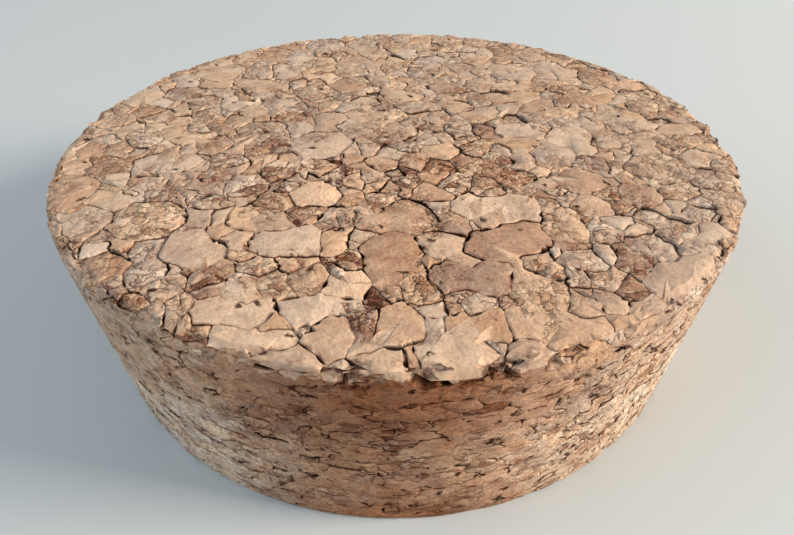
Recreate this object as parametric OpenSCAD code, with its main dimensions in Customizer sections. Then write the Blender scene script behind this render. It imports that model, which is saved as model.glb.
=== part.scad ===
// Cork stopper: a tapered plug of agglomerated cork, sawn and ground from a
// block of pressed granules. It is one solid piece.
// Millimetres, +Z up, the origin in the middle of the foot.
//
// The skin is a mosaic of granules with V-shaped crevices between them. The top
// face cuts the block along its layers, so its granules are a Voronoi mosaic.
// The flank cuts across the layers, so its granules lie in courses and are
// longer than they are high. A granule on the rim belongs to both.
// The foot is finished plain, and is the face that the stopper stands on.

/* [Plug] */
// Diameter of the wide top face
top_d = 100; // [60:1:112]
// Diameter of the narrow foot
foot_d = 94; // [56:1:112]
// Height from the foot to the top face
height = 30; // [16:1:38]

/* [Granules] */
// Mean width of a granule on the top face
granule_w = 5.3; // [4.8:0.1:12]
// Mean length of a granule around the flank
flank_granule_l = 8.6; // [7:0.1:18]
// Mean height of a pressed course on the flank
course_h = 3.3; // [2.8:0.1:8]
// How far granules stray from an even layout, as a share of their size
scatter = 0.42; // [0:0.01:0.45]
// Share of the places left empty in the layout, where the neighbours grow larger
empty_share = 0.12; // [0:0.01:0.3]
// Which random layout of the granules is used
layout = 4; // [1:1:99]

/* [Crevices] */
// Width of a crevice between two granules
crevice_w = 0.36; // [0.2:0.02:0.8]
// Depth of a crevice where it meets others
crevice_depth = 0.7; // [0.3:0.05:1.4]
// Share of these meeting points that have opened into a gap
gap_share = 0.14; // [0:0.01:0.4]
// Width of such a gap
gap_w = 1.5; // [0.6:0.1:2.4]
// Depth of such a gap
gap_depth = 1.6; // [0.8:0.1:2.4]
// Furthest that a granule's cut face tips below its neighbours
relief = 0.28; // [0:0.02:0.6]

/* [Worn edges] */
// Mean wear along the rim of the top face
rim_wear = 0.55; // [0.1:0.05:1.2]
// Mean wear along the edge of the foot
foot_wear = 0.35; // [0.1:0.05:0.8]
// Share of the crevices at the rim that have chipped open
chip_share = 0.2; // [0:0.01:0.5]
// Width of a chip along the rim
chip_w = 2.6; // [1:0.1:4]
// Depth of a chip into the rim
chip_depth = 1.7; // [0.8:0.1:2.6]

/* [Hidden] */

top_r = top_d / 2;
foot_r = foot_d / 2;
// Stands for the rim, where a granule of the mosaic has no neighbour
RIM = -1;
// Distance, in granules, over which two granules of the mosaic can be neighbours
REACH = 3.2;
// Furthest that a crevice's lip can lie on the way to its granule's middle
LIP_LIMIT = 0.42;
// Furthest that a lip near the end of a granule moves, as a share of its way from there
END_LIMIT = 0.7;
// Furthest that a chip reaches down a granule of the rim, as a share of its height
CHIP_LIMIT = 0.8;
// How far a width, a depth or a wear varies around its mean
SPREAD = 0.45;
// Width of a granule on the rim, and the reach of the rim's ring of granules inwards,
// in mean widths
RIM_W = 1.08;
RIM_REACH = 1.15;
// How far granules in a row stray along it, and those on the rim across it, as a share
// of scatter
ALONG = 0.6;
ACROSS = 0.4;
// Waves of the lines between courses: how many there are around the flank, and the
// height of each as a share of a course and of scatter
WAVES = [5, 13, 29];
WAVE_H = 0.28;
// Lean of the crevices across a course, as a share of its height and of a granule
LEAN_H = 0.3;
LEAN_L = 0.15;
// Azimuths of the rim's worst chips, most of them towards -Y
WORST_CHIPS = [28, 246, 252, 274, 282, 347];

// ---- Chance and small tools ----------------------------------------------

// A number from 0 to 1 that looks random, and is always the same for a, b and c.
// The last number in a call keeps one use of chance apart from the others.
function chance(a, b = 0, c = 0) =
    let (s = sin(a * 129.898 + b * 78.233 + c * 37.719 + layout * 11.13) * 43758.5453)
    s - floor(s);
// The same, from -1 to 1
function stray(a, b = 0, c = 0) = 2 * chance(a, b, c) - 1;
// A factor that varies around 1
function vary(a, b = 0, c = 0) = 1 + SPREAD * stray(a, b, c);

function sum_of(list, n = 0) = n == len(list) - 1 ? list[n] : list[n] + sum_of(list, n + 1);
function mean(list) = sum_of(list) / len(list);
function backwards(list) = [for (n = [len(list) - 1:-1:0]) list[n]];
function sorted(rows) = len(rows) < 2 ? rows :
    let (first = rows[0][0])
    concat(
        sorted([for (r = rows) if (r[0] < first) r]),
        [for (r = rows) if (r[0] == first) r],
        sorted([for (r = rows) if (r[0] > first) r]));
function polar(r, az, z) = [r * cos(az), r * sin(az), z];
// The angle of an arc on a circle of radius r
function arc_angle(arc, r) = arc / r * 180 / PI;
function arc_length(az, r) = az * PI / 180 * r;

// Radius of the plug at height z
function plug_r(z) = foot_r + (top_r - foot_r) * z / height;

// ---- Middles of the granules on the top face -----------------------------

// A ring of granules along the rim, and a scattered triangular grid inside it
rim_count = round(PI * top_d / (RIM_W * granule_w));
rim_seeds = [for (k = [0:rim_count - 1])
    let (az = (k + ALONG * scatter * stray(k, 1)) * 360 / rim_count,
         r = top_r - granule_w * (0.5 + ACROSS * scatter * stray(k, 2)))
    [r * cos(az), r * sin(az)]];
inner_r = top_r - RIM_REACH * granule_w;
grid_rows = ceil(top_r / granule_w / sin(60));
grid_columns = ceil(top_r / granule_w) + 1;
grid_seeds = [for (row = [-grid_rows:grid_rows], column = [-grid_columns:grid_columns])
    let (x = column + (row % 2 == 0 ? 0 : 0.5) + scatter * stray(row, column, 3),
         y = row * sin(60) + scatter * stray(row, column, 4),
         p = granule_w * [x, y])
    if (norm(p) < inner_r && chance(row, column, 5) > empty_share) p];
seeds = concat(rim_seeds, grid_seeds);

// ---- Voronoi cells of the top face ---------------------------------------

// A cell is a ring of corners, each [point, the neighbour across the edge that
// starts there]. This cuts it half-way to another seed and keeps its own side.
function cut_cell(cell, seed, other, neighbour) =
    let (middle = (seed + other) / 2,
         way = other - seed,
         over = [for (corner = cell) (corner[0] - middle) * way])
    [for (k = [0:len(cell) - 1])
        let (next = (k + 1) % len(cell),
             stays = over[k] <= 0,
             t = over[k] / (over[k] - over[next]),
             crossing = cell[k][0] + t * (cell[next][0] - cell[k][0]))
        each concat(
            stays ? [cell[k]] : [],
            stays != (over[next] <= 0) ? [[crossing, stays ? neighbour : cell[k][1]]] : [])];

function cut_by_all(cell, i, near, n = 0) = n == len(near) ? cell :
    cut_by_all(cut_cell(cell, seeds[i], seeds[near[n]], near[n]), i, near, n + 1);

// The seed mirrored in the rim, which gives a granule at the rim its outer edge
function mirrored(seed) = seed * (2 * top_r / norm(seed) - 1);

function voronoi_cell(i) =
    let (s = seeds[i],
         half = REACH * granule_w,
         near = [for (j = [0:len(seeds) - 1]) if (j != i && norm(seeds[j] - s) < half) j],
         square = [for (az = [45:90:315]) [s + half * [cos(az), sin(az)], i]],
         start = i < rim_count ? cut_cell(square, s, mirrored(s), RIM) : square)
    cut_by_all(start, i, near);

// The three granules that meet at a corner, in the same order for all of them
function meeting(i, cell, k) =
    [for (v = sorted([[i], [cell[k][1]], [cell[(k + len(cell) - 1) % len(cell)][1]]])) v[0]];

// Where they meet: on the rim half-way between two granules, or at an even
// distance from the middles of three
function meeting_point(m) = m[0] == RIM ?
    let (a = seeds[m[1]], b = seeds[m[2]],
         way = b - a,
         along = [-way.y, way.x] / norm(way),
         middle = (a + b) / 2,
         across = middle - along * (middle * along),
         up = sqrt(top_r * top_r - across * across))
    across + along * up * (along * middle < 0 ? -1 : 1) :
    let (a = seeds[m[0]], b = seeds[m[1]] - a, c = seeds[m[2]] - a,
         d = 2 * (b.x * c.y - b.y * c.x))
    a + [c.y * (b * b) - b.y * (c * c), b.x * (c * c) - c.x * (b * b)] / d;

// ---- Crevices ------------------------------------------------------------

function opened(a, b, c) = chance(a, b, c) < gap_share;
function half_gap(a, b, c) = (opened(a, b, c) ? gap_w : crevice_w) / 2 * vary(a, b, c + 0.5);
function gap_drop(a, b, c) = (opened(a, b, c) ? gap_depth : crevice_depth) * vary(a, b, c + 0.7);

// Where a crevice runs over the rim or the foot's edge, at the azimuth az
function chipped(az) =
    chance(az, 31) < chip_share || min([for (c = WORST_CHIPS) abs(az - c)]) < 180 / rim_count;
function notch_drop(az) =
    let (drop = (chipped(az) ? chip_depth : crevice_depth) * vary(az, 32))
    min(drop, CHIP_LIMIT * (height - line_z(1, az)));
function notch_half_w(az) = (chipped(az) ? chip_w : crevice_w) / 2 * vary(az, 33);
function rim_notch(az) = polar(top_r - notch_drop(az), az, height - notch_drop(az));
function foot_notch(az) = polar(foot_r - crevice_depth * vary(az, 34), az, 0);

// The azimuths at which a granule's edge starts and ends, clear of the crevices
// beside it. The half widths are at the radius r.
function clear_span(az_0, az_1, half_w_0, half_w_1, r) =
    let (most = LIP_LIMIT * (az_1 - az_0))
    [az_0 + min(arc_angle(half_w_0, r), most), az_1 - min(arc_angle(half_w_1, r), most)];

// A lip of a crevice: its corner p, moved towards the middle of the granule
function lip(p, middle, half_w) =
    p + (middle - p) * min(LIP_LIMIT, half_w / max(norm(middle - p), 0.001));

// How far a granule's face has tipped in, at the place p beside its middle.
// Its high side stays flush, so nothing stands proud of the plug.
function tipped(p, middle, reach, a, b) =
    let (slope = 360 * chance(a, b, 41))
    relief * chance(a, b, 42) * (1 + (p - middle) * [cos(slope), sin(slope)] / reach) / 2;
function reach_of(ring, middle) = max([for (p = ring) norm(p - middle)]);

// The sloping sides of a granule, from the crevices' bottom up to the lips, but
// for the edge that lies on the rim or the foot
function sides(bottoms, lips, free_edge = -1) =
    let (n = len(bottoms))
    [for (k = [0:n - 1]) if (k != free_edge)
        let (next = (k + 1) % n)
        each [[bottoms[k], bottoms[next], lips[next]], [bottoms[k], lips[next], lips[k]]]];

// The worn edge between two faces of the plug, from notch to notch. The upper
// and the lower lips run the same way as the azimuth.
function worn_edge(notch_0, notch_1, upper, lower) = [
    [notch_0, upper[0], lower[0]],
    [upper[0], upper[1], lower[1]],
    [upper[0], lower[1], lower[0]],
    [upper[1], notch_1, lower[1]]];

// ---- Granules of the top face --------------------------------------------

// Azimuth of the crevice between the rim's granules k and k + 1
rim_az = [for (k = [0:rim_count - 1])
    let (p = meeting_point(meeting_of_rim(k)), az = atan2(p.y, p.x))
    az < 0 ? az + 360 : az];
function meeting_of_rim(k) = k == rim_count - 1 ? [RIM, 0, k] : [RIM, k, k + 1];
function rim_joint(m) = m[2] - m[1] == 1 ? m[1] : m[2];

// Start and end of the outer edge of the rim's granule i
function rim_span(i) =
    let (az_0 = rim_az[(i + rim_count - 1) % rim_count],
         az_1 = rim_az[i])
    clear_span(i == 0 ? az_0 - 360 : az_0, az_1, notch_half_w(az_0), notch_half_w(az_1), top_r);
function rim_wear_of(i) = rim_wear * vary(i, 35);
function rim_lower_lips(i) =
    let (z = height - rim_wear_of(i))
    [for (az = rim_span(i)) polar(plug_r(z), az, z)];

function top_granule(i) =
    let (cell = voronoi_cell(i),
         n = len(cell),
         meetings = [for (k = [n - 1:-1:0]) meeting(i, cell, k)],
         corners = [for (m = meetings) meeting_point(m)],
         middle = mean(corners),
         reach = reach_of(corners, middle),
         on_rim = [for (k = [0:n - 1]) if (meetings[k][0] == RIM) k],
         // the edge from the first rim corner to the second, running clockwise
         free_edge = len(on_rim) == 0 ? -1 : on_rim[1] - on_rim[0] == 1 ? on_rim[0] : on_rim[1],
         rim_r = top_r - rim_wear_of(i),
         flat_lips = [for (k = [0:n - 1])
             let (m = meetings[k])
             free_edge < 0 || m[0] != RIM ? lip(corners[k], middle, half_gap(m[0], m[1], m[2])) :
             let (az = rim_span(i)[k == free_edge ? 1 : 0])
             [rim_r * cos(az), rim_r * sin(az)]],
         lips = [for (p = flat_lips) [p.x, p.y, height - tipped(p, middle, reach, i, 0)]],
         bottoms = [for (k = [0:n - 1])
             let (m = meetings[k])
             m[0] == RIM ? rim_notch(rim_az[rim_joint(m)]) :
             [corners[k].x, corners[k].y, height - gap_drop(m[0], m[1], m[2])]])
    concat(
        [lips],
        sides(bottoms, lips, free_edge),
        free_edge < 0 ? [] : worn_edge(
            bottoms[(free_edge + 1) % n],
            bottoms[free_edge],
            [lips[(free_edge + 1) % n], lips[free_edge]],
            rim_lower_lips(i)));

// ---- Granules of the flank -----------------------------------------------

course_count = round(height / course_h);
course = height / course_count;

// Crevices between the granules of each course, as [azimuth at its upper end,
// azimuth at its lower end]. The first course has the rim's granules.
joints = [for (k = [0:course_count - 1])
    let (count = k == 0 ? rim_count :
             round(2 * PI * plug_r(height - (k + 0.5) * course) / flank_granule_l),
         step = 360 / count)
    [for (j = [0:count - 1])
        let (az = k == 0 ? rim_az[j] : step * (j + 0.5 + ALONG * scatter * stray(k, j, 61)),
             lean = min(LEAN_L * step, arc_angle(LEAN_H * course, foot_r)) * stray(k, j, 62))
        k == 0 ? [az, az + lean] : [az - lean, az + lean]]];

// Height of the wavy line above course k. Line 0 is the rim.
function line_z(line, az) =
    let (wave = sum_of([for (n = WAVES) sin(n * az + 360 * chance(line, n))]),
         inside = line > 0 && line < course_count ? 1 : 0)
    height - line * course + inside * WAVE_H * scatter * course * wave;

// Every crevice that ends on a line, from above or from below
line_ends = [for (line = [0:course_count]) concat(
    line > 0 ? [for (j = joints[line - 1]) j[1]] : [],
    line < course_count ? [for (j = joints[line]) j[0]] : [])];

// The points of a line from one crevice to the next, as [azimuth past the first
// one, azimuth, line]
function along_line(line, az_0, az_1) =
    let (wrap = az_1 <= az_0 ? 360 : 0)
    concat(
        [[az_0, az_0, line]],
        line == 0 || line == course_count ? [] :
            sorted([for (az = line_ends[line], turn = [0, 360])
                if (az + turn > az_0 && az + turn < az_1 + wrap) [az + turn, az, line]]),
        [[az_1 + wrap, az_1, line]]);

function flank_bottom(az, line) =
    line == 0 ? rim_notch(az) :
    line == course_count ? foot_notch(az) :
    let (z = line_z(line, az))
    polar(plug_r(z) - gap_drop(line, az, 54), az, z);

function foot_wear_of(j) = foot_wear * vary(j, 36);
function foot_span(az_0, az_1) =
    clear_span(az_0, az_1 <= az_0 ? az_1 + 360 : az_1, crevice_w / 2, crevice_w / 2, foot_r);

// The lips of a crevice along the upper (down = 1) or the lower (down = -1)
// line of a granule, in the unrolled flank. The two ends move in from the
// crevices beside the granule too. Points are [x, z, azimuth, line].
function line_lips(points, other_line, down) =
    let (last = len(points) - 1)
    [for (n = [0:last])
        let (p = points[n],
             room = down * (p[1] - line_z(other_line, p[2])),
             w = min(half_gap(p[3], p[2], 54), LIP_LIMIT * room),
             side = n == 0 ? 1 : n == last ? -1 : 0,
             to_next = side == 0 ? 0 : min(w, LIP_LIMIT * abs(points[n + side][0] - p[0])),
             from_end = side == 0 ? min(p[0] - points[0][0], points[last][0] - p[0]) : to_next)
        [p[0] + side * to_next, p[1] - down * min(w, END_LIMIT * from_end)]];

function flank_granule(k, j) =
    let (left = joints[k][j],
         right = joints[k][(j + 1) % len(joints[k])],
         r = plug_r(height - (k + 0.5) * course),
         unroll = function (points) [for (p = points)
             [arc_length(p[0], r), line_z(p[2], p[1]), p[1], p[2]]],
         upper = unroll(along_line(k, left[0], right[0])),
         lower = unroll(along_line(k + 1, left[1], right[1])),
         flat_lips = concat(line_lips(upper, k + 1, 1), backwards(line_lips(lower, k, -1))),
         middle = mean(flat_lips),
         reach = reach_of(flat_lips, middle),
         count = len(flat_lips),
         is_first = k == 0,
         is_last = k == course_count - 1,
         lips = [for (n = [0:count - 1])
             let (p = flat_lips[n])
             is_first && n < 2 ? rim_lower_lips((j + 1) % rim_count)[n] :
             is_last && n >= count - 2 ? foot_upper_lips(j)[count - 1 - n] :
             polar(plug_r(p.y) - tipped(p, middle, reach, k, j), arc_angle(p.x, r), p.y)],
         bottoms = [for (p = concat(upper, backwards(lower))) flank_bottom(p[2], p[3])])
    concat(
        between_lines(lips, len(upper) - 1, 0, count - 1),
        sides(bottoms, lips, is_first ? 0 : is_last ? count - 2 : -1));

// Triangles between the upper lips, which run up to the number last, and the
// lower lips, which run back from there. Each next one spans the shorter way,
// so that the face keeps to the curve of the flank.
function between_lines(lips, last, u, l) =
    let (upper_left = last - u,
         lower_left = l - last - 1,
         along_upper = upper_left > 0 && (lower_left == 0 ||
             norm(lips[u + 1] - lips[l]) < norm(lips[l - 1] - lips[u])))
    upper_left + lower_left == 0 ? [] :
    along_upper ? concat([[lips[u], lips[u + 1], lips[l]]], between_lines(lips, last, u + 1, l)) :
    concat([[lips[u], lips[l - 1], lips[l]]], between_lines(lips, last, u, l - 1));

// ---- Foot ----------------------------------------------------------------

last_joints = joints[course_count - 1];
function next_joint(j) = last_joints[(j + 1) % len(last_joints)];
function foot_edge_span(j) = foot_span(last_joints[j][1], next_joint(j)[1]);
function foot_upper_lips(j) =
    let (z = foot_wear_of(j))
    [for (az = foot_edge_span(j)) polar(plug_r(z), az, z)];
function foot_lower_lips(j) =
    [for (az = foot_edge_span(j)) polar(foot_r - foot_wear_of(j), az, 0)];
function foot_edge(j) = worn_edge(
    foot_notch(last_joints[j][1]),
    foot_notch(next_joint(j)[1]),
    foot_upper_lips(j),
    foot_lower_lips(j));
foot_ring = [for (j = [0:len(last_joints) - 1])
    each concat([foot_notch(last_joints[j][1])], foot_lower_lips(j))];
foot_face = [for (n = [0:len(foot_ring) - 1])
    [[0, 0, 0], foot_ring[n], foot_ring[(n + 1) % len(foot_ring)]]];

// ---- The stopper ---------------------------------------------------------

module cork_stopper() {
    faces = concat(
        [for (i = [0:len(seeds) - 1]) each top_granule(i)],
        [for (k = [0:course_count - 1], j = [0:len(joints[k]) - 1]) each flank_granule(k, j)],
        [for (j = [0:len(last_joints) - 1]) each foot_edge(j)],
        foot_face);
    starts = [for (n = 0, at = 0; n < len(faces); at = at + len(faces[n]), n = n + 1) at];
    color("burlywood")
        polyhedron(
            points = [for (face = faces) each face],
            faces = [for (n = [0:len(faces) - 1])
                [for (k = [0:len(faces[n]) - 1]) starts[n] + k]]);
}

cork_stopper();
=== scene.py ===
"""Cork stopper: the visible skin of an agglomerated cork plug.

The plug is turned as a blank, cut into granules that reach in from its skin,
and each granule gets worn shoulders, a lip and a crevice around it.
Lengths are in millimetres until the finished mesh is scaled to metres.
"""
import math
import random

import bmesh
import bpy
from mathutils import Matrix, Vector, noise
from mathutils.kdtree import KDTree


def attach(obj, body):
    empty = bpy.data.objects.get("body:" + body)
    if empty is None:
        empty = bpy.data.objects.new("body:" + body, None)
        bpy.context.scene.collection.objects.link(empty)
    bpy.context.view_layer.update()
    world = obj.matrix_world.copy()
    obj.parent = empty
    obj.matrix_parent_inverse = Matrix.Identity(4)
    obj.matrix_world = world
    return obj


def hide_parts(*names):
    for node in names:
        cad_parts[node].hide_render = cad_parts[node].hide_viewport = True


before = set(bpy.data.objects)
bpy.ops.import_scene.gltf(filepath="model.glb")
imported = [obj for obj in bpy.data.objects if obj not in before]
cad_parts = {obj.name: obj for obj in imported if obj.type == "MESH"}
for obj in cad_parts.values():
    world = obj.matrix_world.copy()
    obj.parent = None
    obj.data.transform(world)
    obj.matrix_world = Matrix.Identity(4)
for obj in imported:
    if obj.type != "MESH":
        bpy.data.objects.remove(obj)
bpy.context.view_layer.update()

# ---- Sizes of the plug ----------------------------------------------------
TOP_R = 49.8
FOOT_R = 46.9
HEIGHT = 30.0
TURNS = 120                 # flats around the turned blank
RIM_ROWS = [(1.6, 0.0), (0.62, 0.0), (0.2, 0.16), (0.06, 0.6), (0.16, 1.7)]  # (in from the rim, down)

# ---- Sizes of the granules ------------------------------------------------
PRESS = 2.1                 # how much the block is pressed flat
# (radius, throws)
GRADES = [(4.0, 350), (3.1, 1500), (2.4, 5000), (1.75, 14000), (1.25, 20000), (0.85, 22000)]
PACKING = 0.80
SHELL = 2.7                 # how deep under the skin granules are laid out
LARGEST = 4.0 * 1.15
BOX = 4.4                   # seeds are kept in boxes of this width, to find the near ones
THROWN_TO = 53.0            # half the width of the block that seeds are thrown into
OVER = 3.0                  # how far past its top and foot they are thrown
CLEAR = 8.0                 # half the block that one granule is cut from
NEIGHBOURS = 13.0           # a granule is cut against the seeds within this distance
JOINED = [0, 0, 0, 1, 1, 2]  # how many neighbours a granule takes in
JOINABLE = 1.1              # granules with a smaller radius are left alone
BESIDE = 7.0                # how far off a neighbour that is taken in may be
TOUCHING = 1.25             # and how far off as a share of the two radii
IN_LINE = 0.55              # and how near to the granule's own direction
TOP_STEP = 0.45             # length of one piece of a crevice
FLANK_STEP = 0.8
RIM_STEP = 0.45
SHORTEST = 0.14             # crevice pieces shorter than this are merged
TIGHT = 0.12                # share of the borders that have no crevice
FLANK_TIGHT = 0.72
POKED = 2.0                 # faces larger than this get a point of their own in the middle
GAPS = 0.13                 # share of the meeting points that have opened
DARK = 0.035                # share of the granules that are dark bark
CRUMBLY = 0.28              # share of the granules that look like many crumbs
RIM_DROP = 0.7              # what lies further down than this belongs to the flank

# ---- Granules with a place of their own, on the top -----------------------
# (tone, warmth, [(x, y, radius), ...])
PLACED = [
    (0.36, 0.65, [(-0.5, -31.0, 3.6), (0.3, -34.2, 3.1)]),
    (0.31, 0.10, [(6.3, -35.6, 2.6), (10.2, -35.8, 2.9)]),
    (0.70, 0.25, [(-14.6, -29.6, 2.4), (-11.4, -29.2, 2.9)]),
    (0.66, 0.30, [(-24.2, -30.0, 2.9), (-22.0, -31.4, 2.6)]),
    (0.72, 0.50, [(-18.9, -41.3, 1.7), (-16.6, -41.5, 1.8), (-14.3, -41.7, 1.7)]),
    (0.80, 0.60, [(-17.0, -44.8, 1.8), (-14.6, -45.2, 1.8), (-12.2, -45.5, 1.7)]),
    (0.74, 0.40, [(-10.0, -41.3, 1.6), (-7.8, -41.0, 1.7), (-5.8, -40.6, 1.5)]),
    (0.62, 0.60, [(-6.2, -45.4, 1.8), (-6.0, -43.4, 1.6)]),
    (0.92, 0.80, [(-5.2, -37.1, 2.2)]),
    (0.60, 0.80, [(0.3, -43.1, 2.7)]),
    (0.58, 0.75, [(13.2, -43.2, 2.6), (16.4, -44.2, 2.9), (18.8, -44.6, 2.2)]),
    (0.34, 0.60, [(11.4, -30.2, 3.2), (14.6, -28.6, 3.2)]),
    (0.78, 0.45, [(9.9, -21.6, 2.7), (12.8, -22.0, 3.1), (15.8, -21.6, 2.5)]),
    (0.55, 0.20, [(30.4, -36.8, 3.3), (34.4, -35.4, 3.6)]),
    (0.80, 0.75, [(-10.2, -18.4, 3.0)]),
    (0.50, 0.95, [(6.6, -43.6, 1.8), (9.6, -43.4, 2.1)]),
    (0.0, 0.9, [(-19.4, -45.6, 1.2)]),
]
# Knobs: granules that stand out of the worn rim: (tone, warmth, [(x, y, z, radius), ...])
KNOBS = [
    (0.72, 0.60, [(4.2, -46.9, 29.7, 2.2), (6.7, -46.8, 29.7, 2.2),
                  (4.4, -48.6, 28.8, 2.0), (6.9, -48.4, 28.8, 2.0)]),
    (0.60, 0.45, [(12.8, -47.2, 29.7, 1.9), (12.8, -47.6, 28.4, 1.9)]),
    (0.70, 0.60, [(-11.8, -47.6, 29.5, 1.8), (-9.6, -48.2, 29.4, 1.6)]),
    (0.66, 0.50, [(-2.2, -48.6, 29.5, 1.9), (-0.2, -48.7, 29.4, 1.7)]),
]
# Crumbs missing from the rim: (place, radius, depth)
PLACED_DENTS = [
    ((2.4, -49.6, 29.2), 1.1, 1.5), ((3.2, -49.5, 27.9), 1.0, 1.0), ((5.6, -49.2, 26.9), 1.6, 0.5),
    ((8.9, -48.9, 28.7), 1.2, 1.5), ((9.8, -48.6, 29.4), 1.2, 1.2), ((10.8, -48.4, 27.9), 1.0, 1.6),
    ((12.8, -47.8, 26.3), 1.3, 0.6), ((14.9, -47.3, 27.8), 1.0, 0.9), ((16.8, -46.8, 29.2), 1.2, 0.7),
    ((-4.6, -49.4, 28.4), 0.8, 1.0), ((-6.4, -49.2, 29.4), 0.9, 0.7), ((-15.5, -47.3, 29.5), 0.8, 0.9),
    ((-17.2, -46.7, 29.5), 0.8, 0.9), ((-21.0, -45.0, 29.2), 1.3, 0.6), ((-10.6, -48.5, 27.6), 1.2, 0.5),
]
DENTS = 70
# Wide gaps in the top and the rim: (x, y)
PLACED_GAPS = [(-14.0, -39.8), (-8.4, -44.3), (-17.1, -46.8), (-15.4, -47.4), (17.8, -36.8),
               (17.0, -31.7), (5.8, -42.0), (10.0, -48.9), (1.8, -49.2), (-6.0, -49.0)]


def flank_r(z):
    return FOOT_R + (TOP_R - FOOT_R) * z / HEIGHT


def hashed(*numbers):
    """A number from 0 to 1 that looks random and is the same on every run."""
    value = math.sin(sum(n * k for n, k in zip(numbers, (12.9898, 78.233, 37.719, 4.581))) + 1.7) * 43758.5453
    return value - math.floor(value)


def smooth(low, high, value):
    t = min(1.0, max(0.0, (value - low) / (high - low)))
    return t * t * (3 - 2 * t)


SLANT = Vector((0.754878, 0.569840, 0.324718))    # corners and faces are sorted along it


def in_order(bm):
    """The same mesh sorted by place, because spin leaves its parts in another order on each run."""
    sorted_mesh = bmesh.new()
    bm.verts.sort(key=lambda v: v.co.dot(SLANT))
    bm.faces.sort(key=lambda face: face.calc_center_median().dot(SLANT))
    bm.verts.index_update()
    corners = [sorted_mesh.verts.new(v.co) for v in bm.verts]
    for face in bm.faces:
        ring = [v.index for v in face.verts]
        first = ring.index(min(ring))
        sorted_mesh.faces.new([corners[i] for i in ring[first:] + ring[:first]])
    bm.free()
    return sorted_mesh


# ---- The turned blank -----------------------------------------------------
def turned_blank():
    bm = bmesh.new()
    outline = [(FOOT_R - 0.35, 0.0), (FOOT_R - 0.1, 0.1), (flank_r(0.35), 0.35)]
    outline += [(TOP_R - back, HEIGHT - down) for back, down in reversed(RIM_ROWS)]
    points = [bm.verts.new((r, 0, z * PRESS)) for r, z in outline]
    lines = [bm.edges.new(pair) for pair in zip(points, points[1:])]
    bmesh.ops.spin(bm, geom=points + lines, cent=(0, 0, 0), axis=(0, 0, 1), dvec=(0, 0, 0),
                   angle=math.tau, steps=TURNS, use_merge=True, use_duplicate=False)
    bmesh.ops.remove_doubles(bm, verts=bm.verts, dist=1e-4)
    bmesh.ops.holes_fill(bm, edges=[e for e in bm.edges if e.is_boundary], sides=0)
    bmesh.ops.recalc_face_normals(bm, faces=bm.faces)
    bm = in_order(bm)
    bm.faces.layers.int.new("granule")
    bm.faces.layers.int.new("cell")
    return bm


def depth_of(p):
    """Distance of a point from the skin of the pressed blank, below zero inside it."""
    return max(math.hypot(p.x, p.y) - flank_r(p.z / PRESS), p.z - HEIGHT * PRESS, -p.z)


# ---- Layout of the granules -----------------------------------------------
def lay_out():
    """Seeds as (place in the pressed block, radius, number of the granule it belongs to)."""
    chance = random.Random(11)
    room = {}
    laid = []

    def cell(p):
        return tuple(int(c // BOX) for c in p)

    def lay(p, radius, family=None):
        room.setdefault(cell(p), []).append((p, radius))
        laid.append((p, radius, len(laid) if family is None else family))

    def free(p, radius):
        kx, ky, kz = cell(p)
        for x in range(kx - 2, kx + 3):
            for y in range(ky - 2, ky + 3):
                for z in range(kz - 2, kz + 3):
                    for q, other in room.get((x, y, z), ()):
                        if (q - p).length < PACKING * (radius + other):
                            return False
        return True

    for tone, warmth, parts in PLACED + KNOBS:
        family = len(laid)
        for x, y, *z, radius in parts:
            lay(Vector((x, y, (z[0] if z else HEIGHT - 0.3) * PRESS)), radius, family)
    placed = len(laid)
    for grade, throws in GRADES:
        for _ in range(throws):
            p = Vector((chance.uniform(-THROWN_TO, THROWN_TO), chance.uniform(-THROWN_TO, THROWN_TO),
                        chance.uniform(-OVER, HEIGHT * PRESS + OVER)))
            if abs(depth_of(p)) > SHELL:
                continue
            radius = grade * chance.uniform(0.85, 1.15)
            if free(p, radius):
                lay(p, radius)
    return join_neighbours(laid, placed, chance)


def tree_of(laid):
    tree = KDTree(len(laid))
    for n, seed in enumerate(laid):
        tree.insert(seed[0], n)
    tree.balance()
    return tree


def join_neighbours(laid, start, chance):
    """Make one long or bent granule out of some seeds that lie beside each other."""
    tree = tree_of(laid)
    taken = set(range(start))
    for n in chance.sample(range(start, len(laid)), len(laid) - start):
        p, radius, family = laid[n]
        if n in taken or radius < JOINABLE:
            continue
        taken.add(n)
        turn = chance.uniform(0, math.pi)
        way = Vector((math.cos(turn), math.sin(turn), 0))
        wanted = chance.choice(JOINED)
        for q, i, gap in tree.find_range(p, BESIDE):
            if not wanted or i in taken or laid[i][1] <= JOINABLE:
                continue
            if gap < TOUCHING * (radius + laid[i][1]) and abs((q - p).normalized().dot(way)) > IN_LINE:
                taken.add(i)
                laid[i] = (laid[i][0], laid[i][1], n)
                wanted -= 1
    return laid


# ---- Cutting the blank into granules --------------------------------------
def cut(bm, at, way):
    bmesh.ops.bisect_plane(bm, geom=bm.verts[:] + bm.edges[:] + bm.faces[:], dist=1e-5,
                           plane_co=at, plane_no=way, clear_outer=True)
    return bool(bm.faces)


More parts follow.
